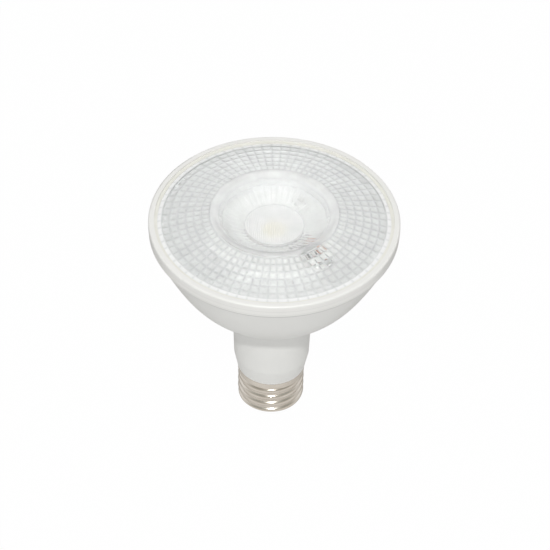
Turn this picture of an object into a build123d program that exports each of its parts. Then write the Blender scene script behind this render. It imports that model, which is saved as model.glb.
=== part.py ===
from build123d import *
import math
import os

# A reflector spotlight lamp with a 95 mm face and a 26 mm screw cap.
# A moulded housing holds an aluminium cup, a plate with the light source, an aluminium
# reflector dish and a clear prismatic lens under a bezel. The driver stands in the neck.
# Millimetres. The origin is the middle of the centre contact's lower face, +Z to the lens.

# Screw cap
contact_radius = 4.75
contact_thick = 1.2
insulator_top = 8.6
shell_bottom = 6.0
cap_top = 24.1
cap_crest_radius = 13.15
thread_depth = 0.9
thread_pitch = 25.4 / 7
knuckle_radius = 1.3
shell_lip_radius = 11.0
shell_sheet = 0.35
collar_height = 3.4
collar_swell = 0.05
collar_slope = 0.4
collar_flare = 0.25
collar_flare_height = 0.6
insulator_gap = 0.15
pin_radius = 0.9
pin_head_radius = 1.9
pin_head_thick = 0.6
pin_recess = 0.1
pin_length = 5.2
pin_gap = 0.05

# Housing outline
neck_foot_step = 0.05
neck_bevel_height = 7.15
neck_bevel_wide = 1.4
neck_length = 32.7
neck_taper = 0.85
neck_wall = 1.3
neck_fillet = 1.6
bowl_height = 38.4
rim_lean = 25.1
rim_pull_share = 0.525
root_lean = 23.4
root_pull_share = 0.523
housing_wall = 2.0
cap_spigot_wall = 1.5
cap_spigot_drop = 13.0
guide_rib_reach = 2.2
guide_rib_wide = 1.2
guide_rib_sink = 0.6
guide_rib_top = 4.0
guide_foot_thick = 1.5

# Bezel, seal and the stack under its lip
bezel_radius = 47.5
bezel_height = 5.3
bezel_wall = 1.35
bezel_overhang = 0.6
bezel_chamfer = 0.35
bezel_step = 0.15
bezel_step_height = 2.6
bezel_round = 0.8
lip_thick = 0.7
lip_reach = 0.85
seal_thick = 0.3
seal_wide = 1.9
seat_gap = 0.15

# Front lens
flange_height = 2.2
flange_wide = 2.0
full_rings = 6
last_ring_share = 0.556
radial_cells = 72
groove_depth = 0.5
groove_half_width = 0.5
dome_rise = 4.6
dome_crown = 0.25
lens_thick = 1.9
crest_wide = 2.8
crest_drop = 0.7
crest_bulge = 0.35
bowl_floor_radius = 11.3
bowl_run = 10.1
bowl_floor_drop = 6.6
bowl_sag = 0.6
flutes = 40
flute_depth = 0.45
bowl_wall = 2.0
bowl_side_wall = 1.0
plug_step = 2.3
plug_drop = 4.2
chip_gap = 0.3

# Light source
plate_thick = 2.0
plate_press_gap = 0.05
pad_thick = 0.3
pad_margin = 2.0
pad_hole_gap = 0.4
board_radius = 25.0
board_thick = 1.6
board_gap = 0.5
chip_side = 13.5
chip_corner = 1.2
chip_thick = 0.7
phosphor_radius = 4.7
phosphor_thick = 0.4
dam_wall = 0.9
dam_height = 0.55
dam_gap = 0.1
screw_inset = 4.5
screw_start = 60.0
screw_count = 3
screw_radius = 1.5
screw_head_radius = 2.7
screw_head_height = 1.5
screw_head_round = 0.68
screw_cross_long = 3.0
screw_cross_wide = 0.6
screw_length = 5.0
screw_gap = 0.1

# Aluminium cup and reflector dish
cup_gap = 0.15
cup_sheet = 1.2
reflector_sheet = 0.5
reflector_foot = 1.2

# Driver in the neck
circuit_edge_gap = 1.4
circuit_thick = 1.2
circuit_foot = 8.0
circuit_rise = 19.3
slot_gap = 0.1
lead_side = 0.7
lead_gap = 0.1
lead_stub = 1.0
wire_radius = 0.65
wire_gap = 0.05
wire_hole_gap = 0.3
wire_grip = 3.0
wire_crown = 2.6
mains_offset = 5.0
solder_radius = 1.9
solder_reach = 2.4

# Bodies on the circuit board: wide, tall and deep, or radius and length
fuse_size = (1.6, 7.0)
varistor_size = (3.5, 2.6)
rectifier_size = (6.4, 4.7, 2.3)
film_size = (9.0, 4.5, 9.0)
input_can = (4.8, 15.0)
output_can = (3.8, 11.0)
transformer_size = (13.0, 12.0, 5.0)
transformer_leg = 4.0
transformer_yoke = 2.0
bobbin_base = 0.9
coil_wall = 2.5
choke_flange = (3.8, 1.2)
choke_height = 8.0
choke_neck = 1.8
chip_body = (4.9, 3.9, 1.5)
rectifier_pitch = 4.0
chip_pitch = 1.27
body_lift = 0.15
can_crimp = 0.35
can_crimp_start = 1.4
can_crimp_step = 0.4
can_edge = 0.5

# Each piece on the board: side of the board, x, height above its foot, and its leads' places
seats = {
    "fuse_resistor": (-1, 0.0, 4.5, [(-5.0, 0.0), (5.0, 0.0)]),
    "varistor": (-1, 6.5, 15.0, [(0.0, -2.5), (0.0, 2.5)]),
    "bridge_rectifier": (-1, -5.4, 14.0, []),
    "film_capacitor": (-1, 0.0, 22.0, [(-3.5, 0.0), (3.5, 0.0)]),
    "transformer_bobbin": (-1, 0.0, 33.0, [(-5.0, -5.0), (5.0, -5.0), (-5.0, 5.0), (5.0, 5.0)]),
    "input_capacitor": (1, 0.0, 17.0, [(-1.6, -9.0), (1.6, -9.0)]),
    "output_capacitor": (1, 0.0, 33.0, [(-1.2, -6.8), (1.2, -6.8)]),
    "choke_core": (1, 7.9, 32.0, [(0.0, -2.0), (0.0, 2.0)]),
    "driver_chip": (1, -8.0, 33.0, []),
}

# Places worked out from the sizes above
neck_top = cap_top + neck_length
shoulder = neck_top + bowl_height
rim_pull = bowl_height * rim_pull_share
root_pull = bowl_height * root_pull_share
bezel_top = shoulder + bezel_height
lip_under = bezel_top - lip_thick
flange_top = lip_under - seal_thick
flange_under = flange_top - flange_height
spigot_top = flange_under - reflector_sheet
bezel_bore = bezel_radius - bezel_wall
bowl_rim_radius = bezel_radius - bezel_overhang
lip_inner_radius = bezel_bore - lip_reach
stack_radius = bezel_bore - seat_gap
seal_inner_radius = stack_radius - seal_wide
cell_outer_radius = stack_radius - flange_wide
crest_inner_radius = bowl_floor_radius + bowl_run
cell_inner_radius = crest_inner_radius + crest_wide
ring_pitch = (cell_outer_radius - cell_inner_radius) / (full_rings + last_ring_share)
plug_radius = bowl_floor_radius - plug_step
crest_top = flange_top + dome_rise
bowl_floor = crest_top - bowl_floor_drop
cell_slope = dome_rise / (cell_outer_radius - cell_inner_radius)
root_radius = cap_crest_radius - thread_depth
collar_radius = cap_crest_radius + collar_swell
cap_spigot_radius = root_radius - shell_sheet - seat_gap
cap_boss_radius = collar_radius - shell_sheet - seat_gap
neck_foot_radius = collar_radius + collar_flare - neck_foot_step
neck_low_radius = neck_foot_radius + neck_bevel_wide
neck_high_radius = neck_low_radius + neck_taper
neck_bore_radius = neck_low_radius - neck_wall
circuit_bottom = cap_top + circuit_foot
circuit_top = neck_top + circuit_rise
circuit_half = neck_bore_radius - circuit_edge_gap
pad_radius = board_radius - pad_margin
screw_circle = board_radius - screw_inset


def bowl_curve(offset):
    """The bowl's side as a curve in the XZ plane, set in from the outer face by offset."""
    lean_top = math.radians(rim_lean)
    lean_root = math.radians(root_lean)
    top_way = (-math.sin(lean_top), -math.cos(lean_top))
    root_way = (-math.cos(lean_root), -math.sin(lean_root))
    top = (bowl_rim_radius + offset * top_way[1], shoulder - offset * top_way[0])
    root = (neck_high_radius + offset * root_way[1], neck_top - offset * root_way[0])
    pull_top = (top[0] + rim_pull * top_way[0], top[1] + rim_pull * top_way[1])
    pull_root = (root[0] - root_pull * root_way[0], root[1] - root_pull * root_way[1])
    return [top, pull_top, pull_root, root]


def bowl_radius(offset, height):
    """Radius of the offset bowl curve at a height, found by halving."""
    points = bowl_curve(offset)
    low, high = 0.0, 1.0
    for _ in range(40):
        t = (low + high) / 2
        weights = ((1 - t) ** 3, 3 * t * (1 - t) ** 2, 3 * t * t * (1 - t), t ** 3)
        z = sum(w * p[1] for w, p in zip(weights, points))
        if z > height:
            low = t
        else:
            high = t
    return sum(w * p[0] for w, p in zip(weights, points))


def flat(points):
    """Points of a section, radius and height, as places in the XZ plane."""
    return [(r, 0, z) for r, z in points]


def turned(points):
    """A solid turned about Z from a closed straight-sided section."""
    return revolve(make_face(Polyline(*flat(points + [points[0]]))), Axis.Z)


def ring(inner, outer, bottom, top):
    """A plain ring or, with inner 0, a disc."""
    return turned([(inner, bottom), (outer, bottom), (outer, top), (inner, top)])


def box_at(low, high):
    """A box between two corners."""
    size = [b - a for a, b in zip(low, high)]
    middle = [(a + b) / 2 for a, b in zip(low, high)]
    return Pos(*middle) * Box(*size)


# Places of the plate and the light source, from the chip that stands under the lens plug
chip_top = bowl_floor - plug_drop - chip_gap
chip_bottom = chip_top - phosphor_thick - chip_thick
board_bottom = chip_bottom - board_thick
plate_top = board_bottom - pad_thick
plate_bottom = plate_top - plate_thick
plug_under = chip_top + chip_gap
plate_radius = bowl_radius(housing_wall + cup_gap + cup_sheet, plate_bottom) - plate_press_gap
board_top = chip_bottom


def board_place(inset, angle):
    """A place on the board, by its distance in from the edge and its angle."""
    r = board_radius - inset
    return r * math.cos(math.radians(angle)), r * math.sin(math.radians(angle))


# Wires from the driver to the board, where they come up and where they are soldered
wire_rise = {"positive": board_place(4.95, -28.6), "negative": board_place(6.75, -43.7)}
wire_pad = {"positive": board_place(12.3, -11.8), "negative": board_place(12.2, -48.8)}
wire_start = {"positive": 4.5, "negative": -4.5}
wire_offset = circuit_thick / 2 + wire_radius + wire_gap


def housing():
    """White moulded bowl, neck and the spigot that the screw cap grips."""
    outer = bowl_curve(0)
    inner = bowl_curve(housing_wall)
    spigot_foot = cap_top - cap_spigot_drop
    bore = cap_spigot_radius - cap_spigot_wall
    edges = [
        Polyline(*flat([inner[0], (inner[0][0], spigot_top), (stack_radius, spigot_top),
                        (stack_radius, shoulder), outer[0]])),
        Bezier(*flat(outer)),
        Polyline(*flat([outer[3], (neck_low_radius, cap_top + neck_bevel_height),
                        (neck_foot_radius, cap_top), (cap_boss_radius, cap_top),
                        (cap_boss_radius, cap_top - collar_height + collar_slope),
                        (cap_spigot_radius, cap_top - collar_height - collar_slope),
                        (cap_spigot_radius, spigot_foot), (bore, spigot_foot),
                        (bore, cap_top), (neck_bore_radius, circuit_bottom),
                        (neck_bore_radius, neck_top), inner[3]])),
        Bezier(*flat(inner[::-1])),
    ]
    section = make_face(Wire(edges[0].edges() + edges[1].edges() + edges[2].edges() + edges[3].edges()))
    corner = section.vertices().sort_by_distance((outer[3][0], 0, outer[3][1]))[0]
    section = fillet(corner, neck_fillet)
    body = revolve(section, Axis.Z)
    slot = circuit_thick / 2 + slot_gap
    side = slot + guide_rib_wide
    near = neck_bore_radius - guide_rib_reach
    far = neck_bore_radius + guide_rib_sink
    low = circuit_bottom - guide_foot_thick
    rib = box_at((near, slot, low), (far, side, neck_top - guide_rib_top))
    foot = box_at((near, -side, low), (far, side, circuit_bottom))
    guide = rib + mirror(rib, Plane.XZ) + foot
    return body + guide + mirror(guide, Plane.YZ)


def bezel_ring():
    """Gloss ring with a stepped side, a rounded top edge and a lip over the lens."""
    low_radius = bezel_radius - bezel_step
    step = shoulder + bezel_step_height
    section = make_face(Polyline(*flat([
        (bezel_bore, shoulder), (low_radius - bezel_chamfer, shoulder), (low_radius, shoulder + bezel_chamfer),
        (low_radius, step), (bezel_radius, step + bezel_step), (bezel_radius, bezel_top),
        (lip_inner_radius, bezel_top), (lip_inner_radius, lip_under), (bezel_bore, lip_under),
        (bezel_bore, shoulder)])))
    corner = section.vertices().sort_by_distance((bezel_radius, 0, bezel_top))[0]
    section = fillet(corner, bezel_round)
    return revolve(section, Axis.Z)


def lens_seal():
    """Flat silicone ring between the lens flange and the bezel's lip."""
    return ring(seal_inner_radius, stack_radius, flange_top, lip_under)


def reflector():
    """Pressed aluminium dish, held at its flange and standing on the plate."""
    hole = board_radius + board_gap
    inner_edge = seal_inner_radius
    bend = 0.2
    return turned([
        (stack_radius, flange_under), (inner_edge, flange_under),
        (hole + reflector_foot - bend, plate_top + reflector_sheet), (hole, plate_top + reflector_sheet),
        (hole, plate_top), (hole + reflector_foot, plate_top),
        (inner_edge + bend, spigot_top), (stack_radius, spigot_top)])


def cell_plane(u):
    """Height of the flat cells on the lens's underside."""
    return flange_top - lens_thick + (cell_outer_radius - u) * cell_slope


def cell_mould():
    """The space under the lens whose top face leaves rings of flat-topped cells."""
    tangent = math.tan(math.pi / radial_cells)
    foot = flange_under - 1.5
    rings = [cell_inner_radius + i * ring_pitch for i in range(full_rings + 1)] + [cell_outer_radius]

    def place(u, side, inset, lift):
        return Vector(u, side * (u * tangent - inset), cell_plane(u) + lift)

    def below(u, side):
        return Vector(u, side * u * tangent, foot)

    quads = []
    for u0, u1 in zip(rings, rings[1:]):
        a, b = u0 + groove_half_width, u1 - groove_half_width
        deep = [place(u, s, 0, groove_depth) for u, s in ((u0, -1), (u1, -1), (u1, 1), (u0, 1))]
        land = [place(u, s, groove_half_width, 0) for u, s in ((a, -1), (b, -1), (b, 1), (a, 1))]
        quads.append(land)
        for i in range(4):
            j = (i + 1) % 4
            quads.append([deep[i], deep[j], land[j], land[i]])
    first, last = rings[0], rings[-1]
    for u in (first, last):
        quads.append([place(u, -1, 0, groove_depth), place(u, 1, 0, groove_depth), below(u, 1), below(u, -1)])
    quads.append([below(first, -1), below(first, 1), below(last, 1), below(last, -1)])
    sector = [make_face(Polyline(*quad, quad[0])) for quad in quads]
    faces = []
    for k in range(radial_cells):
        faces += [Rot(0, 0, 360 / radial_cells * k) * face for face in sector]
    return Solid(Shell(faces))


def fluted_wire(radius, height, depth):
    """A closed ring of outward lobes, one for each flute of the bowl."""
    def place(r, step):
        angle = math.pi * step / flutes
        return Vector(r * math.cos(angle), r * math.sin(angle), height)

    arcs = [ThreePointArc(place(radius, 2 * k - 1), place(radius + depth, 2 * k), place(radius, 2 * k + 1))
            for k in range(flutes)]
    return Wire([edge for arc in arcs for edge in arc.edges()])


def bowl_cutter():
    """The open fluted bowl in the middle of the lens."""
    rim = crest_top - crest_drop
    run = crest_inner_radius - bowl_floor_radius
    rise = rim - bowl_floor
    span = math.hypot(run, rise)
    middle = (bowl_floor_radius + run / 2 + bowl_sag * rise / span, bowl_floor + rise / 2 - bowl_sag * run / span)
    wires = [
        fluted_wire(bowl_floor_radius, bowl_floor, flute_depth),
        fluted_wire(middle[0], middle[1], flute_depth),
        fluted_wire(crest_inner_radius, rim, 0),
    ]
    return Solid.make_loft(wires, ruled=True)


def front_lens():
    """Clear moulded lens: domed cell ring, rounded crest, fluted bowl and a plug over the chip."""
    rim = crest_top - crest_drop
    middle = (cell_outer_radius + cell_inner_radius) / 2
    under_root = (cell_inner_radius - bowl_side_wall, rim - bowl_wall)
    under_foot = (bowl_floor_radius + bowl_side_wall, bowl_floor - bowl_wall)
    under_bend = ((under_root[0] + under_foot[0] + bowl_sag) / 2, (under_root[1] + under_foot[1]) / 2 - bowl_sag)
    edges = [
        Polyline(*flat([(stack_radius, flange_under), (stack_radius, flange_top), (cell_outer_radius, flange_top)])),
        ThreePointArc(*flat([(cell_outer_radius, flange_top),
                             (middle, flange_top + dome_rise / 2 + dome_crown),
                             (cell_inner_radius, crest_top)])),
        ThreePointArc(*flat([(cell_inner_radius, crest_top),
                             ((cell_inner_radius + crest_inner_radius) / 2, crest_top - crest_drop / 2 + crest_bulge),
                             (crest_inner_radius, rim)])),
        Polyline(*flat([(crest_inner_radius, rim), (0, rim), (0, plug_under), (plug_radius, plug_under), under_foot])),
        ThreePointArc(*flat([under_foot, under_bend, under_root])),
        Polyline(*flat([under_root, (cell_outer_radius + 0.2, flange_under), (stack_radius, flange_under)])),
    ]
    section = make_face(Wire([edge for part in edges for edge in part.edges()]))
    blank = revolve(section, Axis.Z)
    return blank - bowl_cutter() - cell_mould()


def heat_sink():
    """Spun aluminium cup that lines the bowl and carries the plate."""
    outer = bowl_curve(housing_wall + cup_gap)
    inner = bowl_curve(housing_wall + cup_gap + cup_sheet)
    edges = [
        Bezier(*flat(outer)),
        Polyline(*flat([outer[3], inner[3]])),
        Bezier(*flat(inner[::-1])),
        Polyline(*flat([inner[0], outer[0]])),
    ]
    whole = revolve(make_face(Wire([edge for part in edges for edge in part.edges()])), Axis.Z)
    keep = Pos(0, 0, plate_top) * Cylinder(bezel_radius, bezel_radius * 3, align=(Align.CENTER, Align.CENTER, Align.MAX))
    return whole & keep


def screw_places():
    """Where the board's screws stand."""
    return [Rot(0, 0, screw_start + 360 / screw_count * k) * Pos(screw_circle, 0, 0) for k in range(screw_count)]


def wire_holes(radius, bottom, top):
    """Cutters for the two wire holes through the plate, the pad and the board."""
    return [Pos(x, y, (bottom + top) / 2) * Cylinder(radius, top - bottom + 1) for x, y in wire_rise.values()]


def screw_holes(radius, bottom, top):
    """Cutters for the board's screws."""
    return [place * Pos(0, 0, (bottom + top) / 2) * Cylinder(radius, top - bottom + 1) for place in screw_places()]


def mounting_plate():
    """Aluminium disc pressed into the cup, with tapped holes and two wire holes."""
    disc = ring(0, plate_radius, plate_bottom, plate_top)
    return (disc - screw_holes(screw_radius + screw_gap, plate_bottom, plate_top)
            - wire_holes(wire_radius + wire_hole_gap, plate_bottom, plate_top))


def thermal_pad():
    """Soft grey pad between the plate and the board."""
    disc = ring(0, pad_radius, plate_top, board_bottom)
    return (disc - screw_holes(screw_radius + screw_gap + pad_hole_gap, plate_top, board_bottom)
            - wire_holes(wire_radius + wire_hole_gap + pad_hole_gap, plate_top, board_bottom))


def led_board():
    """Round white aluminium-core board under the light source."""
    disc = ring(0, board_radius, board_bottom, board_top)
    return (disc - screw_holes(screw_radius + screw_gap, board_bottom, board_top)
            - wire_holes(wire_radius + wire_hole_gap, board_bottom, board_top))


def board_screws():
    """Pan-head screws with cross recesses that clamp the board to the plate."""
    screws = []
    for place in screw_places():
        shank = Cylinder(screw_radius, screw_length, align=(Align.CENTER, Align.CENTER, Align.MAX))
        head = Cylinder(screw_head_radius, screw_head_height, align=(Align.CENTER, Align.CENTER, Align.MIN))
        head = fillet(head.edges().group_by(Axis.Z)[-1], screw_head_round)
        slot = Pos(0, 0, screw_head_height) * Box(screw_cross_long, screw_cross_wide, screw_head_height)
        cross = [slot, Rot(0, 0, 90) * slot]
        screws.append(place * Pos(0, 0, board_top) * ((head - cross) + shank))
    return screws


def chip_base():
    """White ceramic base of the light source, with cut corners."""
    plate = Box(chip_side, chip_side, chip_thick, align=(Align.CENTER, Align.CENTER, Align.MIN))
    plate = chamfer(plate.edges().filter_by(Axis.Z), chip_corner)
    return Pos(0, 0, chip_bottom) * plate


def chip_dam():
    """Low silicone ring that holds the phosphor."""
    inner = phosphor_radius + dam_gap
    low = chip_bottom + chip_thick
    return ring(inner, inner + dam_wall, low, low + dam_height)


def phosphor():
    """Yellow disc over the light-emitting dice."""
    return ring(0, phosphor_radius, chip_bottom + chip_thick, chip_top)


def solder_pads():
    """Domes of solder that join the wires' ends to the board."""
    pads = []
    for x, y in wire_pad.values():
        ball = Pos(0, 0, -solder_radius / 2) * Sphere(solder_radius)
        dome = ball & Box(solder_radius * 2, solder_radius * 2, solder_radius, align=(Align.CENTER, Align.CENTER, Align.MIN))
        pads.append(Pos(x, y, board_top) * dome)
    return pads


def lead_wire(name):
    """Insulated wire from the driver, up through the board and over to its solder."""
    x0, y0 = wire_start[name], wire_offset
    x1, y1 = wire_rise[name]
    x2, y2 = wire_pad[name]
    low = circuit_top - wire_grip
    lift = plate_bottom - low
    away = math.hypot(x1 - x2, y1 - y2)
    ex, ey = x2 + (x1 - x2) / away * solder_reach, y2 + (y1 - y2) / away * solder_reach
    return tube_along([(x0, y0, low), (x0, y0, low + lift * 0.4), (x1, y1, low + lift * 0.72),
                       (x1, y1, board_top + wire_crown), (ex, ey, board_top + wire_radius + wire_gap)], wire_radius)


def shell_core(inset, drop):
    """The screw shell's plain form, its outer face moved in by inset and its foot down by drop."""
    collar_foot = cap_top - collar_height
    core = root_radius - inset
    collar = collar_radius - inset
    lip = shell_lip_radius - inset * math.sqrt(2)
    foot = [(0, shell_bottom - drop), (lip, shell_bottom - drop)] + ([(lip, shell_bottom)] if drop else [])
    return turned(foot + [
        (core, shell_bottom + core - lip), (core, collar_foot - collar_slope), (collar, collar_foot + collar_slope),
        (collar, cap_top - collar_flare_height), (collar + collar_flare, cap_top), (0, cap_top)])


def thread_bead():
    """Round bead that climbs the shell and runs out into the bevel at its foot."""
    centre = cap_crest_radius - knuckle_radius
    start = shell_bottom - thread_pitch
    top = cap_top - collar_height + knuckle_radius
    path = Pos(0, 0, start) * Helix(thread_pitch, top - start, centre)
    section = Plane(origin=(centre, 0, start), x_dir=(1, 0, 0), z_dir=(0, 1, 0)) * Circle(knuckle_radius)
    bead = sweep(section, path=path, is_frenet=True)
    widest = collar_radius + 1
    bevel = shell_bottom + widest - shell_lip_radius
    return bead & turned([(0, shell_bottom), (shell_lip_radius, shell_bottom), (widest, bevel),
                          (widest, cap_top), (0, cap_top)])


def cap_shell():
    """Nickel-plated screw shell with a rolled thread and a collar over the spigot."""
    return shell_core(0, 0) + thread_bead() - shell_core(shell_sheet, 1)


def cap_insulator():
    """Dark glass cone between the shell and the contact, hollow for the live wire."""
    lip = shell_lip_radius - shell_sheet * math.sqrt(2) - insulator_gap
    plug = cap_spigot_radius - insulator_gap
    rise = plug - lip
    bore = pin_radius + insulator_gap
    return turned([
        (bore, contact_thick), (contact_radius + 0.6, contact_thick), (lip, shell_bottom - 0.4), (lip, shell_bottom),
        (plug, shell_bottom + rise + insulator_gap), (plug, insulator_top), (plug - 2.4, insulator_top),
        (contact_radius - 1.0, contact_thick + 1.8), (bore, contact_thick + 1.8)])


def centre_contact():
    """Plated brass disc at the tip, with a seat for the pin's head."""
    edge = 0.35
    bore = pin_radius + pin_gap
    seat = pin_head_radius + pin_gap
    return turned([
        (seat, 0), (contact_radius - edge, 0), (contact_radius, edge), (contact_radius, contact_thick),
        (bore, contact_thick), (bore, pin_head_thick + pin_gap), (seat, pin_head_thick + pin_gap)])


def contact_pin():
    """Hollow-topped pin pressed through the contact, which pinches the live wire."""
    top = contact_thick + pin_length
    low = pin_recess
    return turned([
        (0, low), (pin_head_radius - 0.2, low), (pin_head_radius, low + 0.2), (pin_head_radius, pin_head_thick),
        (pin_radius, pin_head_thick), (pin_radius, top), (0, top)])


def tube_along(points, radius):
    """Round wire of straight runs joined by tangent arcs, as large as the runs allow."""
    radii = []
    for a, b, c in zip(points, points[1:], points[2:]):
        one, two = Vector(*b) - Vector(*a), Vector(*c) - Vector(*b)
        turn = math.radians(one.get_angle(two))
        radii.append(0.45 * min(one.length, two.length) / math.tan(turn / 2))
    path = FilletPolyline(*points, radius=radii)
    way = Vector(*points[1]) - Vector(*points[0])
    wire = sweep(Plane(origin=points[0], z_dir=way) * Circle(radius), path=path.wire())
    print("wire radii", [round(r, 2) for r in radii], "length", round(wire.volume / (math.pi * radius**2), 1))
    return wire


def live_wire():
    """Wire from the driver's foot to the contact pin."""
    x, y = mains_offset, wire_offset
    top = contact_thick + pin_length
    return tube_along([(x, y, circuit_bottom + wire_grip), (x, y, circuit_bottom - 3), (0, 0, cap_top - 5),
                       (0, 0, top + 0.1)], wire_radius)


def neutral_wire():
    """Wire from the driver's foot, under the spigot's end to the shell's wall."""
    x, y = -mains_offset, wire_offset
    inner = cap_spigot_radius - cap_spigot_wall - wire_radius - 0.3
    low = cap_top - cap_spigot_drop - wire_radius - 0.6
    end = root_radius - shell_sheet - 0.25
    return tube_along([(x, y, circuit_bottom + wire_grip), (x, y, circuit_bottom - 3), (-inner, 0, cap_top - 4),
                       (-inner, 0, low + 1.3), (-inner - 1.3, 0, low), (-end, 0, low)], wire_radius)


def seat(name):
    """Plane on the board's face under a piece: x along the board, y up, z outwards."""
    side, x, height, _ = seats[name]
    return Plane(origin=(x, side * circuit_thick / 2, circuit_bottom + height), x_dir=(-side, 0, 0), z_dir=(0, side, 0))


def legs(name, top):
    """Square leads of a piece, from top down through the board, in the seat's plane."""
    low = -circuit_thick - lead_stub
    return [Pos(x, y, (top + low) / 2) * Box(lead_side, lead_side, top - low) for x, y in seats[name][3]]


def circuit_board():
    """Green board that stands in the neck's slots, with a hole for each lead."""
    half = circuit_thick / 2
    board = box_at((-circuit_half, -half, circuit_bottom), (circuit_half, half, circuit_top))
    hole = lead_side + 2 * lead_gap
    holes = []
    for name, row in seats.items():
        holes += [seat(name) * (Pos(x, y, 0) * Box(hole, hole, 3 * circuit_thick)) for x, y in row[3]]
    return board - holes


def fuse_resistor():
    """Axial fusible resistor lying across the board."""
    radius, length = fuse_size
    middle = radius + body_lift
    body = Pos(0, 0, middle) * (Rot(0, 90, 0) * Cylinder(radius, length))
    body = fillet(body.edges().filter_by(GeomType.CIRCLE), radius * 0.3)
    reach = seats["fuse_resistor"][3][1][0] + lead_side / 2
    bar = Pos(0, 0, middle) * Box(2 * reach, lead_side, lead_side)
    return seat("fuse_resistor") * (body + bar + legs("fuse_resistor", middle))


def varistor():
    """Disc varistor standing on two leads."""
    radius, thick = varistor_size
    disc = Pos(0, 0, radius + body_lift) * (Rot(0, 90, 0) * Cylinder(radius, thick))
    disc = fillet(disc.edges().filter_by(GeomType.CIRCLE), thick * 0.35)
    return seat("varistor") * (disc + legs("varistor", radius + body_lift))


def flat_package(name, size, pairs, pitch):
    """Moulded package lying on the board, with bent legs along its two long sides."""
    wide, tall, deep = size
    body = Pos(0, 0, deep / 2 + body_lift) * Box(wide, tall, deep)
    body = chamfer(body.faces().sort_by(Axis.Z)[-1].edges(), 0.3)
    pins = []
    for side in (-1, 1):
        for i in range(pairs):
            x = (i - (pairs - 1) / 2) * pitch
            pins.append(Pos(x, side * (tall / 2 + 0.4), deep * 0.25) * Box(0.5, 0.9, deep * 0.5))
    return seat(name) * (body + pins)


def film_capacitor():
    """Boxed film capacitor standing on two leads."""
    wide, tall, deep = film_size
    body = Pos(0, 0, deep / 2) * Box(wide, tall, deep)
    body = fillet(body.edges().filter_by(Axis.Z) + body.faces().sort_by(Axis.Z)[-1].edges(), 0.6)
    return seat("film_capacitor") * (body + legs("film_capacitor", 1.0))


def can_capacitor(name, size):
    """Electrolytic can lying along the board, with a crimp near its leads."""
    radius, length = size
    half = length / 2
    crimp = radius - can_crimp
    start = can_crimp_start - half
    step = can_crimp_step
    outline = [(0, -half), (radius - step, -half), (radius, step - half), (radius, start), (crimp, start + step),
               (crimp, start + 2 * step), (radius, start + 3 * step), (radius, half - can_edge),
               (radius - can_edge, half), (0, half)]
    middle = radius + body_lift
    can = Pos(0, 0, middle) * (Rot(-90, 0, 0) * turned(outline))
    reach = -seats[name][3][0][1] + lead_side / 2
    bars = []
    for x, y in seats[name][3]:
        bars.append(Pos(x, -(reach + half) / 2 + 0.2, middle) * Box(lead_side, reach - half + 0.4, lead_side))
    return seat(name) * (can + bars + legs(name, middle))


def transformer_bobbin():
    """Base and pins of the transformer."""
    wide, tall, _ = transformer_size
    base = Pos(0, 0, bobbin_base / 2) * Box(wide, tall, bobbin_base)
    return seat("transformer_bobbin") * (base + legs("transformer_bobbin", bobbin_base))


def transformer_coil():
    """Taped winding around the core's middle leg."""
    wide, tall, deep = transformer_size
    leg = transformer_leg + 2 * slot_gap
    high = deep + 2 * slot_gap + 2 * coil_wall
    length = tall - 2 * transformer_yoke - 2 * slot_gap
    block = Pos(0, 0, bobbin_base + high / 2) * Box(leg + 2 * coil_wall, length, high)
    block = fillet(block.edges().filter_by(Axis.Y), 1.6)
    tunnel = Pos(0, 0, bobbin_base + high / 2) * Box(leg, length + 1, deep + 2 * slot_gap)
    return seat("transformer_bobbin") * (block - tunnel)


def transformer_core():
    """Ferrite core whose three legs run through and beside the winding."""
    wide, tall, deep = transformer_size
    middle = bobbin_base + coil_wall + slot_gap + deep / 2
    inner = transformer_leg / 2
    outer = inner + coil_wall + 3 * slot_gap
    block = Pos(0, 0, middle) * Box(max(wide, 2 * outer + 2), tall, deep)
    windows = []
    for side in (-1, 1):
        windows.append(Pos(side * (inner + outer) / 2, 0, middle) * Box(outer - inner, tall - 2 * transformer_yoke, deep + 1))
    return seat("transformer_bobbin") * (block - windows)


def choke_core():
    """Ferrite drum standing on the board."""
    flange, thick = choke_flange
    drum = turned([(0, 0), (flange, 0), (flange, thick), (choke_neck, thick), (choke_neck, choke_height - thick),
                   (flange, choke_height - thick), (flange, choke_height), (0, choke_height)])
    return seat("choke_core") * (drum + legs("choke_core", thick / 2))


def choke_coil():
    """Enamelled winding between the drum's flanges."""
    flange, thick = choke_flange
    inner = choke_neck + slot_gap
    return seat("choke_core") * ring(inner, flange - 0.4, thick, choke_height - thick)


makers = {
    "housing": housing,
    "heat_sink": heat_sink,
    "mounting_plate": mounting_plate,
    "thermal_pad": thermal_pad,
    "led_board": led_board,
    "board_screws": board_screws,
    "chip_base": chip_base,
    "chip_dam": chip_dam,
    "phosphor": phosphor,
    "solder_pads": solder_pads,
    "positive_wire": lambda: lead_wire("positive"),
    "negative_wire": lambda: lead_wire("negative"),
    "reflector": reflector,
    "front_lens": front_lens,
    "lens_seal": lens_seal,
    "bezel_ring": bezel_ring,
    "circuit_board": circuit_board,
    "fuse_resistor": fuse_resistor,
    "varistor": varistor,
    "bridge_rectifier": lambda: flat_package("bridge_rectifier", rectifier_size, 2, rectifier_pitch),
    "film_capacitor": film_capacitor,
    "input_capacitor": lambda: can_capacitor("input_capacitor", input_can),
    "output_capacitor": lambda: can_capacitor("output_capacitor", output_can),
    "transformer_bobbin": transformer_bobbin,
    "transformer_coil": transformer_coil,
    "transformer_core": transformer_core,
    "choke_core": choke_core,
    "choke_coil": choke_coil,
    "driver_chip": lambda: flat_package("driver_chip", chip_body, 4, chip_pitch),
    "live_wire": live_wire,
    "neutral_wire": neutral_wire,
    "cap_shell": cap_shell,
    "cap_insulator": cap_insulator,
    "centre_contact": centre_contact,
    "contact_pin": contact_pin,
}

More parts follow.
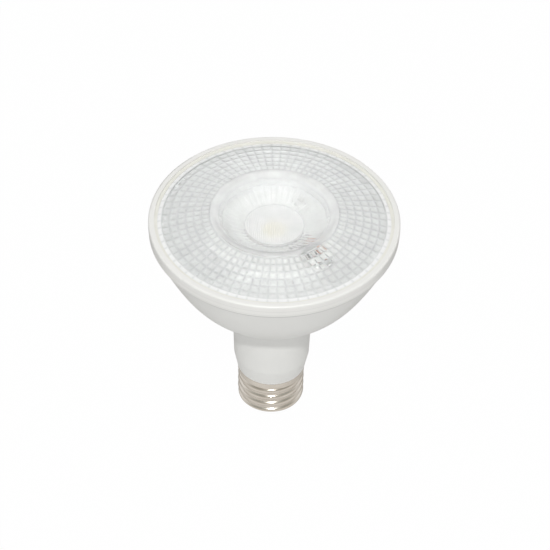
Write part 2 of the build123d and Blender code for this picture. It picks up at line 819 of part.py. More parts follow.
os.makedirs("parts", exist_ok=True)
for name, make in makers.items():
    made = make()
    solids = made if isinstance(made, list) else [made]
    piece = Compound(children=[solid for item in solids for solid in item.solids()])
    piece.label = name
    export_step(piece, f"parts/{name}.step")
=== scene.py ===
import math

import bmesh
import bpy
from mathutils import Matrix, Vector


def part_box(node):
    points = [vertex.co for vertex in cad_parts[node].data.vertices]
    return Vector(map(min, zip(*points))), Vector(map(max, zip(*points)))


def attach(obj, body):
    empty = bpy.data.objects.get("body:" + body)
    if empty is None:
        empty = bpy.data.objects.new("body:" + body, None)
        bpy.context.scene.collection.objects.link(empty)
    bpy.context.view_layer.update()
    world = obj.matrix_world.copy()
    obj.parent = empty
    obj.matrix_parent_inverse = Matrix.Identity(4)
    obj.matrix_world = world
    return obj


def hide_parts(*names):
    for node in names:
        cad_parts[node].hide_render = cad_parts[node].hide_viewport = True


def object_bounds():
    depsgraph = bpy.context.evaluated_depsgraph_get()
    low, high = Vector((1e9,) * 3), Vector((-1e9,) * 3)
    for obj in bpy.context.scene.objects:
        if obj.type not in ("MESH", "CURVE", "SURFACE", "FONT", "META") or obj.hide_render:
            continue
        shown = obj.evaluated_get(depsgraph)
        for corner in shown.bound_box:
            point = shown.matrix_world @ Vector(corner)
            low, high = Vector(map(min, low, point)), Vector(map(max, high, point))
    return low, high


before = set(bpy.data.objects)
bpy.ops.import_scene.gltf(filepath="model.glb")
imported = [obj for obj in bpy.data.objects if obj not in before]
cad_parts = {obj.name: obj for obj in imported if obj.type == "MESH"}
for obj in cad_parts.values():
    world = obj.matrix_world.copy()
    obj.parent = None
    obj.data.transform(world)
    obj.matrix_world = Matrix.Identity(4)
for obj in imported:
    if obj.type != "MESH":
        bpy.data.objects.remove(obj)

cad_low, cad_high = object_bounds()
MM = 0.001

# Heights and radii read from the solids, in metres
bezel_foot, bezel_top = (corner.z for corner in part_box("bezel_ring"))
flange_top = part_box("lens_seal")[0].z
flange_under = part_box("reflector")[1].z
stack_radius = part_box("lens_seal")[1].x
plug_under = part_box("front_lens")[0].z
shell_foot, shell_top = (corner.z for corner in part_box("cap_shell"))

# Camera, as solved from the photograph
IMAGE_PIXELS = 550
FOCAL_PIXELS = 2499.3
SENSOR_MM = 36.0
CAMERA_DISTANCE = 960.76 * MM
CAMERA_ELEVATION = math.radians(43.93)
CAMERA_ROLL = math.radians(1.33)
AIM_SIDE = 0.72 * MM
AIM_BELOW_BEZEL = 29.39 * MM

# Room, floor and lights. The levels are what the room gives to matt surfaces, all round and from the front
ROOM_LEVEL = 0.47
ROOM_FRONT_LEVEL = 0.86
WALL_TONES = (
    (0.0, (0.72, 0.69, 0.65)),
    (0.35, (0.66, 0.64, 0.60)),
    (0.62, (0.42, 0.43, 0.40)),
    (0.85, (0.45, 0.46, 0.43)),
    (1.0, (0.95, 0.96, 0.98)),
)
WALL_FADE = (0.2, -0.3)
WHITE = (1.0, 1.0, 1.0)
FLOOR_HALF = 3.0
FLOOR_GAP = 0.2 * MM
FLOOR_GLOW = 0.99
FLOOR_TONE = (0.68, 0.68, 0.68)
FLOOR_FRONT = (0.95, 0.94, 0.92)
FLOOR_BACK = (0.50, 0.49, 0.47)
FLOOR_FADE = 30.0 * MM
LIGHT_AIM = Vector((0, 0, 70.0 * MM))
LIGHTS = (
    ("key", (-0.02, -0.75, 0.995), 0.05, 5.4),
    ("overhead", (0.0, 0.0, 1.3), 0.9, 3.0),
)

# Painted shade, as darker bands: under the bezel, standing in for the shade in its groove, and along the
# bezel's two fine lines; heights above its foot
GROOVE_DOWN = 0.45 * MM
GROOVE_WIDE = 0.6 * MM
GROOVE_SHADE = 0.80
BEZEL_LINES = (0.75 * MM, 2.6 * MM)
LINE_WIDE = 0.2 * MM
LINE_SOFT = 0.15 * MM
LINE_SHADE = 0.9

# Screw shell
SHELL_ROOT = 12.25 * MM
SHELL_CREST = 13.15 * MM
SHELL_LIP = 11.0 * MM
SHELL_SHEET = 0.35 * MM
BEVEL_SHEET = 1.42 * SHELL_SHEET
THREAD_PITCH = 25.4 / 7 * MM
THREAD_LAG = 0.58 * MM
KNUCKLE_RADIUS = 1.3 * MM
ROOT_SOFTNESS = 0.16 * MM
COLLAR_HEIGHT = 3.4 * MM
COLLAR_SLOPE = 0.4 * MM
COLLAR_RADIUS = 13.2 * MM
FLARE_RADIUS = 13.45 * MM
FLARE_HEIGHT = 0.6 * MM
SHELL_ROWS = 181
SHELL_AROUND = 144

# Front lens: cells under a dome
RADIAL_CELLS = 72
STEPS_PER_CELL = 8
FULL_RINGS = 6
RING_PITCH = 3.02 * MM
CELL_INNER = 24.2 * MM
CELL_OUTER = 44.0 * MM
CELL_DEPTH = 0.32 * MM
CELL_SQUARE = 3
CELL_MARGIN = 0.05 * MM
LENS_THICK = 1.9 * MM
DOME_RISE = 4.6 * MM
DOME_CROWN = 0.25 * MM
DOME_STEPS = 8
lens_top = flange_top + DOME_RISE

# Front lens: crest and bowl
CREST_INNER = 21.4 * MM
CREST_DROP = 0.7 * MM
CREST_BULGE = 0.35 * MM
CREST_STEPS = 6
FLOOR_RADIUS = 11.3 * MM
FLOOR_DROP = 6.6 * MM
BOWL_SAG = 0.6 * MM
BOWL_WALL = 2.0 * MM
BOWL_STEPS = 12
BOWL_ROOT_IN = 1.0 * MM
BOWL_FOOT_OUT = 1.0 * MM
UNDER_BEND_OUT = 0.3 * MM
UNDER_LIP = 0.1 * MM
UNDER_STEPS = 6
PLUG_RADIUS = 9.0 * MM
PLUG_FACE = 0.6
FLUTES = 40
FLUTE_DEPTH = 0.45 * MM
FLUTE_GROWTH = 2.5
RIB_PITCH = 0.76 * MM
RIB_HEIGHT = 0.15 * MM
RIB_STEPS = 6
RIB_RADIUS = 10.9 * MM
RIB_EDGE = 0.3 * MM

# Front lens: how clear it is by radius, over the dome and near the wires, and the painted shade along the
# cells' borders, standing in for the dark lines that the valleys between the cells give by refraction
LAST_RING = 42.32 * MM
CLEARNESS = (
    (0.0, 0.48),
    (RIB_RADIUS, 0.48),
    (RIB_RADIUS + 0.5 * MM, 0.78),
    (CREST_INNER - 1.5 * MM, 0.78),
    (CREST_INNER, 0.64),
    (CELL_INNER, 0.64),
    (CELL_INNER + 1.0 * MM, 0.55),
    (CELL_OUTER - 6.0 * MM, 0.55),
    (LAST_RING, 0.42),
    (LAST_RING + 0.4 * MM, 0.12),
    (stack_radius, 0.12),
)
TOP_CLEAR = 0.94
WIRE_WINDOW = (16.5 * MM, -22.0 * MM, 100.5 * MM)
WINDOW_RADIUS = 7.5 * MM
WINDOW_CORE = 0.4 * WINDOW_RADIUS
WINDOW_CLEAR = 0.33
BORDER_CORE = 0.05 * MM
BORDER_EDGE = 0.70 * MM
BORDER_PAINTED_SHADE = (0.75, 0.76, 0.755)
PASSED_LIGHT = (0.79, 0.80, 0.80)
PLASTIC_INDEX = 1.49


class Tree:
    """Nodes of a material or of the world, with short ways to add and join them."""

    def __init__(self, owner):
        owner.use_nodes = True
        self.nodes = owner.node_tree.nodes
        self.links = owner.node_tree.links

    def feed(self, socket, value):
        """Sets a plain value, or links a node's output."""
        if isinstance(value, bpy.types.NodeSocket):
            self.links.new(value, socket)
        elif socket.type == "RGBA":
            socket.default_value = (*value, 1.0)
        else:
            socket.default_value = value

    def add(self, kind, inputs=None, **settings):
        """New node with its settings and with what its inputs take."""
        node = self.nodes.new("ShaderNode" + kind)
        for name, setting in settings.items():
            setattr(node, name, setting)
        for socket, value in (inputs or {}).items():
            self.feed(node.inputs[socket], value)
        return node

    def math(self, kind, first, second=0.0):
        """One arithmetic step."""
        return self.add("Math", {0: first, 1: second}, operation=kind).outputs["Value"]

    def span(self, value, low, high, start=0.3, end=0.7):
        """Stretches a value over a range, by default a noise value."""
        inputs = {"Value": value, "From Min": start, "From Max": end, "To Min": low, "To Max": high}
        return self.add("MapRange", inputs).outputs["Result"]

    def mix(self, share, first, second):
        """Colour between two, by a share."""
        inputs = {"Factor": share, "A": first, "B": second}
        return self.add("Mix", inputs, data_type="RGBA").outputs["Result"]

    def ramp(self, value, stops):
        """Colour that follows a value through its stops, from 0 to 1."""
        node = self.add("ValToRGB", {"Fac": value})
        elements = node.color_ramp.elements
        for element, (position, colour) in zip(elements, (stops[0], stops[-1])):
            element.position, element.color = position, (*colour, 1.0)
        for position, colour in stops[1:-1]:
            elements.new(position).color = (*colour, 1.0)
        return node.outputs["Color"]

    def split(self, vector):
        """X, Y and Z of a vector."""
        parts = self.add("SeparateXYZ", {"Vector": vector})
        return [parts.outputs[name] for name in "XYZ"]

    def ray(self, kind):
        """1 for rays of that kind."""
        return self.add("LightPath").outputs[f"Is {kind} Ray"]

    def seen(self):
        """1 where the eye, a reflection or a refraction looks, 0 for light that falls on things."""
        mirrored = self.math("MAXIMUM", self.ray("Camera"), self.ray("Glossy"))
        return self.math("MAXIMUM", mirrored, self.ray("Transmission"))

    def surface(self, share, first, second):
        """Makes a mix of two shaders the material's surface."""
        mixed = self.add("MixShader", {0: share, 1: first.outputs[0], 2: second.outputs[0]})
        self.feed(self.nodes["Material Output"].inputs["Surface"], mixed.outputs[0])


class Paint(Tree):
    """One procedural material for a piece of the lamp."""

    def __init__(self, name):
        self.material = bpy.data.materials.new(name)
        super().__init__(self.material)
        self.shader = self.nodes["Principled BSDF"]
        self.place = self.add("TexCoord").outputs["Object"]

    def put(self, socket, value):
        """Gives the shader a plain value or a node's output."""
        self.feed(self.shader.inputs[socket], value)

    def noise(self, size_mm, detail=3.0, place=None):
        """Noise whose lumps are about that many millimetres."""
        inputs = {"Scale": 1.0 / (size_mm * MM), "Detail": detail, "Vector": place or self.place}
        return self.add("TexNoise", inputs).outputs["Fac"]

    def tone(self, value, first, second):
        """Colour between two tones, by a noise value."""
        return self.mix(self.span(value, 0.0, 1.0), first, second)

    def shade_painted_in_bands(self, colour, bands):
        """Colour darkened in level bands of painted shade, each with its lower and upper height and its share
        of light.
        """
        height = self.polar()[2]
        shade = 1.0
        for low, high, share in bands:
            above = self.span(height, 0.0, 1.0, low - LINE_SOFT, low)
            under = self.span(height, 1.0, 0.0, high, high + LINE_SOFT)
            depth = self.math("MULTIPLY", self.math("MULTIPLY", above, under), 1.0 - share)
            shade = self.math("SUBTRACT", shade, depth)
        return self.add("VectorMath", {0: colour, "Scale": shade}, operation="SCALE").outputs[0]

    def polar(self):
        """Distance from the lamp's axis, angle round it and height."""
        x, y, z = self.split(self.place)
        squares = self.math("ADD", self.math("MULTIPLY", x, x), self.math("MULTIPLY", y, y))
        return self.math("SQRT", squares), self.math("ARCTAN2", y, x), z

    def turned(self):
        """Coordinates that change with the radius and the height alone, as lathe marks do."""
        radius, _, height = self.polar()
        return self.add("CombineXYZ", {"X": radius, "Y": height}).outputs["Vector"]

    def relief(self, value, depth_mm):
        """Bump of a real depth."""
        bump = self.add("Bump", {"Strength": 1.0, "Distance": depth_mm * MM, "Height": value})
        self.put("Normal", bump.outputs["Normal"])


def plastic(name, light, dark, rough, grain_mm=0.5, grain_depth=0.01, blotch_mm=14.0, coat=0.0, bands=()):
    """Moulded plastic: faint blotches, uneven gloss, fine grain and any bands of painted shade, by height."""
    paint = Paint(name)
    colour = paint.tone(paint.noise(blotch_mm), dark, light)
    paint.put("Base Color", paint.shade_painted_in_bands(colour, bands) if bands else colour)
    paint.put("Roughness", paint.span(paint.noise(blotch_mm / 4), rough - 0.04, rough + 0.05))
    paint.put("IOR", PLASTIC_INDEX)
    if coat:
        paint.put("Coat Weight", coat)
        paint.put("Coat Roughness", 0.08)
    paint.relief(paint.noise(grain_mm, 2.0), grain_depth)
    return paint.material


def metal(name, light, dark, rough, line_mm=0.25, line_depth=0.008):
    """Metal with turned marks, uneven polish and faint tarnish."""
    paint = Paint(name)
    marks = paint.noise(line_mm, 2.0, paint.turned())
    paint.put("Metallic", 1.0)
    paint.put("Base Color", paint.tone(paint.noise(6.0), dark, light))
    paint.put("Roughness", paint.span(marks, rough - 0.05, rough + 0.07))
    paint.relief(marks, line_depth)
    return paint.material


def rubber(name, light, dark, rough=0.6, grain_mm=0.3):
    """Silicone or soft pad with a fine matt grain."""
    paint = Paint(name)
    paint.put("Base Color", paint.tone(paint.noise(3.0), dark, light))
    paint.put("Roughness", paint.span(paint.noise(1.0), rough - 0.08, rough + 0.08))
    paint.relief(paint.noise(grain_mm), 0.02)
    return paint.material


def dome_and_border_shade_masks(paint, radius, angle, height):
    """Two values: 1 over the dome above the cells, and 1 on the borders between the cells below it, where
    shade is painted.
    """

    def to_border(cells):
        """How far a count of cells is from the nearest whole number."""
        place = paint.math("FRACT", cells)
        return paint.math("MINIMUM", place, paint.math("SUBTRACT", 1.0, place))

    rings = paint.math("DIVIDE", paint.math("SUBTRACT", radius, CELL_INNER), RING_PITCH)
    to_ring = paint.math("MULTIPLY", to_border(rings), RING_PITCH)
    turns = paint.math("ADD", paint.math("MULTIPLY", angle, RADIAL_CELLS / (2 * math.pi)), 0.5)
    cell_width = paint.math("MULTIPLY", radius, 2 * math.pi / RADIAL_CELLS)
    to_side = paint.math("MULTIPLY", to_border(turns), cell_width)
    border_painted_shade = paint.span(paint.math("MINIMUM", to_ring, to_side), 1.0, 0.0, BORDER_CORE, BORDER_EDGE)

    slope = DOME_RISE / (CELL_OUTER - CELL_INNER)
    level = paint.math("ADD", height, paint.math("MULTIPLY", radius, slope))
    below = paint.math("LESS_THAN", level, cell_plane(0.0) + LENS_THICK / 2)
    last = paint.math("GREATER_THAN", radius, LAST_RING)
    lined = paint.math("MAXIMUM", below, last)
    in_cells = paint.math("MULTIPLY", paint.math("GREATER_THAN", radius, CELL_INNER),
                          paint.math("LESS_THAN", radius, CELL_OUTER))
    dome = paint.math("MULTIPLY", in_cells, paint.math("SUBTRACT", 1.0, lined))
    return dome, paint.math("MULTIPLY", border_painted_shade, paint.math("MULTIPLY", lined, in_cells))


def clear_plastic():
    """Optical plastic, clear in the bowl's wall and over the wires, and hazy over the cells and at the floor.

    Light that falls on what is inside passes it as through a window.
    """
    paint = Paint("clear_lens")
    radius, angle, height = paint.polar()
    dome, border_painted_shade = dome_and_border_shade_masks(paint, radius, angle, height)
    stops = [(r / stack_radius, (clear,) * 3) for r, clear in CLEARNESS]
    clear = paint.ramp(paint.math("DIVIDE", radius, stack_radius), stops)
    away = paint.add("VectorMath", {0: paint.place, 1: WIRE_WINDOW}, operation="DISTANCE").outputs["Value"]
    clear = paint.math("ADD", clear, paint.span(paint.noise(6.0), -0.04, 0.04))
    clear = paint.math("ADD", clear, paint.span(away, WINDOW_CLEAR, 0.0, WINDOW_CORE, WINDOW_RADIUS))
    paint.put("Transmission Weight", paint.math("MAXIMUM", clear, paint.math("MULTIPLY", dome, TOP_CLEAR)))
    crown = paint.tone(paint.noise(20.0), (0.88, 0.883, 0.88), (0.90, 0.902, 0.897))
    # Painted shade: a darker base colour along the cells' borders
    paint.put("Base Color", paint.mix(border_painted_shade, crown, BORDER_PAINTED_SHADE))
    paint.put("Roughness", paint.span(paint.noise(5.0), 0.03, 0.07))
    paint.put("IOR", PLASTIC_INDEX)
    paint.relief(paint.noise(2.5, 2.0), 0.004)
    window = paint.add("BsdfTransparent", {"Color": PASSED_LIGHT})
    paint.surface(paint.ray("Shadow"), paint.shader, window)
    return paint.material


def dress(node, material):
    """Gives a carried-over solid its finish."""
    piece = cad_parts[node]
    piece.data.materials.clear()
    piece.data.materials.append(material)


def add_piece(name, bm, material, replaces, sharp=30.0):
    """Turns built geometry into a smooth piece that rides on the lamp in place of some of its solids."""
    mesh = bpy.data.meshes.new(name)
    bmesh.ops.recalc_face_normals(bm, faces=bm.faces)
    bm.to_mesh(mesh)
    bm.free()
    mesh.polygons.foreach_set("use_smooth", [True] * len(mesh.polygons))
    mesh.set_sharp_from_angle(angle=math.radians(sharp))
    mesh.materials.append(material)
    piece = bpy.data.objects.new(name, mesh)
    bpy.context.scene.collection.objects.link(piece)
    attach(piece, "root")
    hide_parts(*replaces)


def ring(bm, count, place, lag=0.0):
    """Loop of vertices round the axis. Each share of the turn has its radius and height from place."""
    loop = []
    for share in (j / count for j in range(count)):
        angle = 2 * math.pi * (share - lag)
        r, z = place(share)
        loop.append(bm.verts.new((r * math.cos(angle), r * math.sin(angle), z)))
    return loop


def bridge(bm, first, second):
    """Faces between two loops of the same count."""
    for j in range(len(first)):
        k = (j + 1) % len(first)
        bm.faces.new((first[j], first[k], second[k], second[j]))


def curve(start, middle, end, steps):
    """Points of a curve from start to end that passes through middle at half way."""
    handle = tuple(2 * q - (p + s) / 2 for p, q, s in zip(start, middle, end))
    points = []
    for t in (i / steps for i in range(steps + 1)):
        points.append(tuple((1 - t) ** 2 * p + 2 * t * (1 - t) * q + t * t * s
                            for p, q, s in zip(start, handle, end)))
    return points


def cell_plane(r):
    """Height of the cells' crowns on the lens's underside."""
    return flange_top - LENS_THICK + (CELL_OUTER - r) * DOME_RISE / (CELL_OUTER - CELL_INNER)


def plain(r, z):
    """Ring of the lens with one radius and height all round."""
    return lambda share: (r, z)


def fluted(r, z, depth):
    """Ring of the bowl's wall, with the flutes hollowed out of it."""
    def place(share):
        inside = 2 * (share * FLUTES % 1.0) - 1
        return r + depth * (1 - inside * inside), z
    return place


def celled(r, across):
    """Ring of the underside, with a pillow on each cell. Across runs from -1 to 1 over a cell's width."""
    def place(share):
        turn = 2 * (share * RADIAL_CELLS % 1.0) - 1
        crown = (1 - abs(across) ** CELL_SQUARE) * (1 - abs(turn) ** CELL_SQUARE)
        return r, cell_plane(r) + CELL_DEPTH * (1 - crown)
    return place


def lens_top_rings():
    """Rings of the lens from the flange's foot over dome and crest down to the bowl's floor."""
    crest_edge = (CREST_INNER, lens_top - CREST_DROP)
    bowl_foot = (FLOOR_RADIUS, lens_top - FLOOR_DROP)
    dome_middle = ((CELL_OUTER + CELL_INNER) / 2, flange_top + DOME_RISE / 2 + DOME_CROWN)
    crest_middle = ((CELL_INNER + CREST_INNER) / 2, lens_top - CREST_DROP / 2 + CREST_BULGE)
    run, rise = crest_edge[0] - bowl_foot[0], crest_edge[1] - bowl_foot[1]
    length = math.hypot(run, rise)
    bowl_middle = (bowl_foot[0] + run / 2 + BOWL_SAG * rise / length,
                   bowl_foot[1] + rise / 2 - BOWL_SAG * run / length)

    dome = curve((CELL_OUTER, flange_top), dome_middle, (CELL_INNER, lens_top), DOME_STEPS)
    crest = curve((CELL_INNER, lens_top), crest_middle, crest_edge, CREST_STEPS)
    bowl = curve(crest_edge, bowl_middle, bowl_foot, BOWL_STEPS)
    rings = [plain(stack_radius, flange_under), plain(stack_radius, flange_top)]
    rings += [plain(r, z) for r, z in dome + crest[1:]]
    for i, (r, z) in list(enumerate(bowl))[1:]:
        rings.append(fluted(r, z, FLUTE_DEPTH * min(1.0, FLUTE_GROWTH * i / BOWL_STEPS)))
    return rings + [plain(RIB_RADIUS, bowl_foot[1])]


def lens_under_rings():
    """Rings of the lens from the plug over the chip up under the bowl's wall and out over the cells."""
    root = (CELL_INNER - BOWL_ROOT_IN, lens_top - CREST_DROP - BOWL_WALL)
    foot = (FLOOR_RADIUS + BOWL_FOOT_OUT, lens_top - FLOOR_DROP - BOWL_WALL)
    middle = ((root[0] + foot[0]) / 2 + UNDER_BEND_OUT, (root[1] + foot[1]) / 2 - BOWL_SAG)

    rings = [plain(PLUG_FACE * PLUG_RADIUS, plug_under), plain(PLUG_RADIUS, plug_under)]
    rings += [plain(r, z) for r, z in curve(foot, middle, root, UNDER_STEPS)]
    rings.append(plain(CELL_INNER - CELL_MARGIN, root[1] - UNDER_LIP))
    edges = [CELL_INNER + i * RING_PITCH for i in range(FULL_RINGS + 1)] + [CELL_OUTER]
    for inner, outer in zip(edges, edges[1:]):
        for step in range(STEPS_PER_CELL):
            share = step / STEPS_PER_CELL
            rings.append(celled(inner + (outer - inner) * share, 2 * share - 1))
    return rings + [celled(CELL_OUTER, 1.0), plain(CELL_OUTER + CELL_MARGIN, flange_under)]


def build_lens():
    """The clear front lens with pillow cells, rounded crest, curved flutes and a ribbed floor."""
    bm = bmesh.new()
    around = RADIAL_CELLS * STEPS_PER_CELL
    top, under = ([ring(bm, around, place, 0.5 / RADIAL_CELLS) for place in places]
                  for places in (lens_top_rings(), lens_under_rings()))
    for side in (top, under):
        for first, second in zip(side, side[1:]):
            bridge(bm, first, second)
    bridge(bm, under[-1], top[0])
    bm.faces.new(under[0])
    ribbed_floor(bm, top[-1])
    bmesh.ops.triangulate(bm, faces=[f for f in bm.faces if len(f.verts) > 4])
    return bm


def ribbed_floor(bm, rim_loop):
    """Fills the bowl's floor with ribs that run across it, front to back."""
    inner = RIB_RADIUS - RIB_EDGE
    step = RIB_PITCH / RIB_STEPS
    count = int(inner / step)
    front, back = [], []
    for x in (i * step for i in range(-count, count + 1)):
        y = math.sqrt(max(inner * inner - x * x, 0.0))
        z = lens_top - FLOOR_DROP + RIB_HEIGHT * 0.5 * (math.cos(2 * math.pi * x / RIB_PITCH) - 1)
        front.append(bm.verts.new((x, -y, z)))
        back.append(bm.verts.new((x, y, z)))
    for i in range(len(front) - 1):
        bm.faces.new((front[i], front[i + 1], back[i + 1], back[i]))
    edge = front + back[::-1]
    bm.edges.ensure_lookup_table()
    inner_edges = [bm.edges.get((a, b)) or bm.edges.new((a, b)) for a, b in zip(edge, edge[1:] + edge[:1])]
    outer_edges = [bm.edges.get((a, b)) for a, b in zip(rim_loop, rim_loop[1:] + rim_loop[:1])]
    bmesh.ops.bridge_loops(bm, edges=inner_edges + outer_edges)


def eased(value, start, end):
    """0 before start, 1 after end, and a smooth rise between."""
    t = min(max((value - start) / (end - start), 0.0), 1.0)
    return t * t * (3 - 2 * t)


def shell_radius(height, share):
    """Outer radius of the screw shell at a height and a share of a turn."""
    bevel = SHELL_LIP + height - shell_foot
    collar_foot = shell_top - COLLAR_HEIGHT
    collared = eased(height, collar_foot - COLLAR_SLOPE, collar_foot + COLLAR_SLOPE)
    flared = eased(height, shell_top - FLARE_HEIGHT, shell_top)
    core = min(bevel, SHELL_ROOT)
    core += (COLLAR_RADIUS - SHELL_ROOT) * collared + (FLARE_RADIUS - COLLAR_RADIUS) * flared
    turns = (height - shell_foot + THREAD_LAG) / THREAD_PITCH - share
    off = (turns - round(turns)) * THREAD_PITCH
    bead = SHELL_CREST - KNUCKLE_RADIUS + math.sqrt(max(KNUCKLE_RADIUS ** 2 - off ** 2, 0.0))
    joined = (core + bead + math.hypot(core - bead, ROOT_SOFTNESS) - ROOT_SOFTNESS) / 2
    return min(joined, bevel)


def build_shell():
    """The nickel screw shell: one sheet with a bevelled foot, a round rolled thread and a flared collar."""
    bm = bmesh.new()
    heights = [shell_foot + (shell_top - shell_foot) * i / SHELL_ROWS for i in range(SHELL_ROWS + 1)]
    bevel_top = shell_foot + SHELL_ROOT - SHELL_LIP
    rows = [(z, 0.0) for z in heights]
    rows += [(z, BEVEL_SHEET if z < bevel_top else SHELL_SHEET) for z in heights[::-1]]
    loops = [ring(bm, SHELL_AROUND, lambda share: (shell_radius(z, share) - inset, z)) for z, inset in rows]
    for first, second in zip(loops, loops[1:] + loops[:1]):
        bridge(bm, first, second)
    return bm


def build_camera():
    """Camera at the photograph's angle, distance and roll."""
    aim = Vector((AIM_SIDE, 0, bezel_top - AIM_BELOW_BEZEL))
    forward = Vector((0, math.cos(CAMERA_ELEVATION), -math.sin(CAMERA_ELEVATION)))
    right = Vector((1, 0, 0))
    up = right.cross(forward)
    turn_right = right * math.cos(CAMERA_ROLL) + up * math.sin(CAMERA_ROLL)
    turn_up = up * math.cos(CAMERA_ROLL) - right * math.sin(CAMERA_ROLL)
    data = bpy.data.cameras.new("camera")
    data.sensor_width = SENSOR_MM
    data.lens = FOCAL_PIXELS / IMAGE_PIXELS * SENSOR_MM
    data.clip_start, data.clip_end = 0.01, 50
    camera = bpy.data.objects.new("camera", data)
    rotation = Matrix((turn_right, turn_up, -forward)).transposed().to_4x4()
    camera.matrix_world = Matrix.Translation(aim - forward * CAMERA_DISTANCE) @ rotation
    bpy.context.scene.collection.objects.link(camera)
    bpy.context.scene.camera = camera


def build_world():
    """White room, softer where it lights matt surfaces. In metal its front half shows as a warm grey wall."""
    world = bpy.data.worlds.new("room")
    bpy.context.scene.world = world
    tree = Tree(world)
    background = tree.nodes["Background"]
    _, depth, height = tree.split(tree.add("TexCoord").outputs["Generated"])
    lit = tree.span(depth, ROOM_LEVEL, ROOM_FRONT_LEVEL, 0.0, -1.0)
    tree.feed(background.inputs["Strength"], tree.span(tree.seen(), lit, 1.0, 0.0, 1.0))
    in_front = tree.span(depth, 0.0, 1.0, *WALL_FADE)
    mirrored = tree.math("MULTIPLY", tree.ray("Glossy"), in_front)
    tree.feed(background.inputs["Color"], tree.mix(mirrored, WHITE, tree.ramp(height, WALL_TONES)))


def build_floor():
    """Pale floor that reads white and keeps a soft shadow. In metal it is a warm grey, darker at the back."""
    bm = bmesh.new()
    corners = ((-1, -1), (1, -1), (1, 1), (-1, 1))
    bm.faces.new([bm.verts.new((x * FLOOR_HALF, y * FLOOR_HALF, 0)) for x, y in corners])
    mesh = bpy.data.meshes.new("floor")
    bm.to_mesh(mesh)
    bm.free()
    floor = bpy.data.objects.new("floor", mesh)
    floor.location.z = cad_low.z - FLOOR_GAP
    bpy.context.scene.collection.objects.link(floor)

    material = bpy.data.materials.new("pale_floor")
    tree = Tree(material)
    shader = tree.nodes["Principled BSDF"]
    tree.feed(shader.inputs["Base Color"], FLOOR_TONE)
    tree.feed(shader.inputs["Roughness"], 0.9)
    tree.feed(shader.inputs["Specular IOR Level"], 0.0)
    depth = tree.split(tree.add("NewGeometry").outputs["Position"])[1]
    mirrored = tree.mix(tree.span(depth, 0.0, 1.0, -FLOOR_FADE, FLOOR_FADE), FLOOR_FRONT, FLOOR_BACK)
    white = tree.add("Emission", {"Color": tree.mix(tree.ray("Glossy"), WHITE, mirrored), "Strength": 1.0})
    tree.surface(tree.math("MULTIPLY", tree.seen(), FLOOR_GLOW), shader, white)
    mesh.materials.append(material)


def build_light(name, where, size, watts):
    """Square soft light that faces the lamp."""
    data = bpy.data.lights.new(name, "AREA")
    data.shape = "SQUARE"
    data.size = size
    data.energy = watts
    light = bpy.data.objects.new(name, data)
    light.location = where
    light.rotation_mode = "QUATERNION"
    light.rotation_quaternion = (LIGHT_AIM - Vector(where)).to_track_quat("-Z", "Y")
    bpy.context.scene.collection.objects.link(light)


# Outside of the lamp
# Painted shade: a darker band on the housing just under the bezel for the groove's shade, and darker bands
# along the bezel's two fine lines
groove_painted_shade = [(bezel_foot - GROOVE_DOWN - GROOVE_WIDE, bezel_foot - GROOVE_DOWN, GROOVE_SHADE)]
line_painted_shade = [(bezel_foot + z, bezel_foot + z + LINE_WIDE, LINE_SHADE) for z in BEZEL_LINES]
nickel = metal("nickel_shell", (0.68, 0.635, 0.575), (0.60, 0.55, 0.49), 0.19, 0.5, 0.0015)
dress("housing", plastic("white_housing", (0.80, 0.80, 0.775), (0.77, 0.77, 0.745), 0.36, bands=groove_painted_shade))
dress("bezel_ring", plastic("ivory_bezel", (0.795, 0.792, 0.765), (0.77, 0.767, 0.74), 0.34, bands=line_painted_shade))
dress("lens_seal", rubber("cream_seal", (0.77, 0.765, 0.71), (0.73, 0.725, 0.665)))
dress("cap_shell", nickel)
dress("cap_insulator", plastic("cap_glass", (0.035, 0.03, 0.035), (0.02, 0.018, 0.02), 0.12, 1.5, 0.02, 4.0,
                               coat=0.5))
dress("centre_contact", metal("contact_nickel", (0.78, 0.75, 0.70), (0.66, 0.63, 0.58), 0.2, 0.4))
dress("contact_pin", metal("pin_brass", (0.80, 0.66, 0.36), (0.68, 0.54, 0.28), 0.25, 0.4))

# Light source and what carries its heat away
dress("reflector", metal("satin_reflector", (0.86, 0.865, 0.87), (0.82, 0.825, 0.83), 0.5, 0.4))
dress("heat_sink", metal("spun_cup", (0.78, 0.79, 0.80), (0.70, 0.71, 0.72), 0.35))
dress("mounting_plate", metal("turned_plate", (0.80, 0.81, 0.82), (0.72, 0.73, 0.74), 0.3))
dress("thermal_pad", rubber("grey_pad", (0.52, 0.53, 0.55), (0.45, 0.46, 0.48)))
dress("led_board", plastic("white_board", (0.78, 0.785, 0.775), (0.74, 0.745, 0.735), 0.3, 0.2, 0.004))
dress("board_screws", metal("plated_screw", (0.88, 0.88, 0.87), (0.80, 0.80, 0.79), 0.5))
dress("chip_base", plastic("chip_ceramic", (0.88, 0.88, 0.86), (0.83, 0.83, 0.81), 0.45, 0.1, 0.004))
dress("chip_dam", rubber("white_dam", (0.90, 0.90, 0.87), (0.85, 0.85, 0.82), 0.4))
dress("phosphor", rubber("yellow_phosphor", (0.90, 0.81, 0.50), (0.84, 0.75, 0.42), 0.5, 0.15))
dress("solder_pads", metal("bright_solder", (0.78, 0.78, 0.77), (0.62, 0.62, 0.62), 0.22, 0.5))

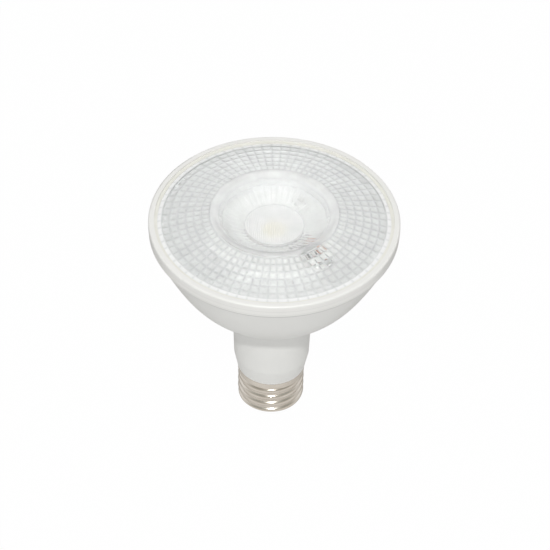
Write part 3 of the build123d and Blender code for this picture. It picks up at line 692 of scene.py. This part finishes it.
# Wires
black = ((0.035, 0.03, 0.03), (0.02, 0.02, 0.02))
dress("positive_wire", plastic("red_wire", (0.50, 0.16, 0.05), (0.42, 0.12, 0.03), 0.35, 0.3, 0.006))
dress("negative_wire", plastic("black_wire", *black, 0.35, 0.3, 0.006))
dress("live_wire", plastic("live_wire_black", *black, 0.4, 0.3, 0.006))
dress("neutral_wire", plastic("white_wire", (0.80, 0.80, 0.78), (0.74, 0.74, 0.72), 0.4, 0.3, 0.006))

# Circuit board and its parts
package = ((0.04, 0.04, 0.042), (0.025, 0.025, 0.027))
sleeve = plastic("dark_sleeve", (0.06, 0.06, 0.10), (0.04, 0.04, 0.07), 0.25, 0.4, 0.006, 4.0)
ferrite = plastic("ferrite", (0.11, 0.11, 0.12), (0.07, 0.07, 0.08), 0.55, 0.15, 0.02, 1.5)
dress("circuit_board", plastic("green_board", (0.05, 0.26, 0.12), (0.03, 0.20, 0.09), 0.3, 0.25, 0.01, 5.0))
dress("fuse_resistor", plastic("blue_lacquer", (0.30, 0.50, 0.60), (0.24, 0.43, 0.54), 0.3, 0.3, 0.01, 2.0))
dress("varistor", plastic("dark_blue_lacquer", (0.06, 0.14, 0.40), (0.04, 0.10, 0.32), 0.3, 0.4, 0.02, 2.0))
dress("bridge_rectifier", plastic("black_package", *package, 0.5, 0.12, 0.01, 2.0))
dress("driver_chip", plastic("small_package", *package, 0.5, 0.1, 0.01, 2.0))
dress("film_capacitor", plastic("yellow_box", (0.72, 0.56, 0.10), (0.64, 0.48, 0.07), 0.4, 0.3, 0.01, 3.0))
dress("input_capacitor", sleeve)
dress("output_capacitor", sleeve)
dress("transformer_bobbin", plastic("black_bobbin", (0.05, 0.05, 0.05), (0.03, 0.03, 0.03), 0.45, 0.2, 0.01,
                                    3.0))
dress("transformer_coil", plastic("yellow_tape", (0.80, 0.60, 0.08), (0.70, 0.50, 0.05), 0.25, 0.5, 0.02,
                                  2.0))
dress("transformer_core", ferrite)
dress("choke_core", ferrite)
dress("choke_coil", metal("enamelled_winding", (0.72, 0.30, 0.12), (0.58, 0.22, 0.08), 0.3, 0.35, 0.08))

add_piece("lens_optics", build_lens(), clear_plastic(), ["front_lens"])
add_piece("rolled_shell", build_shell(), nickel, ["cap_shell"], sharp=50.0)

build_camera()
build_world()
build_floor()
for light in LIGHTS:
    build_light(*light)

bpy.context.scene.view_settings.view_transform = "Standard"
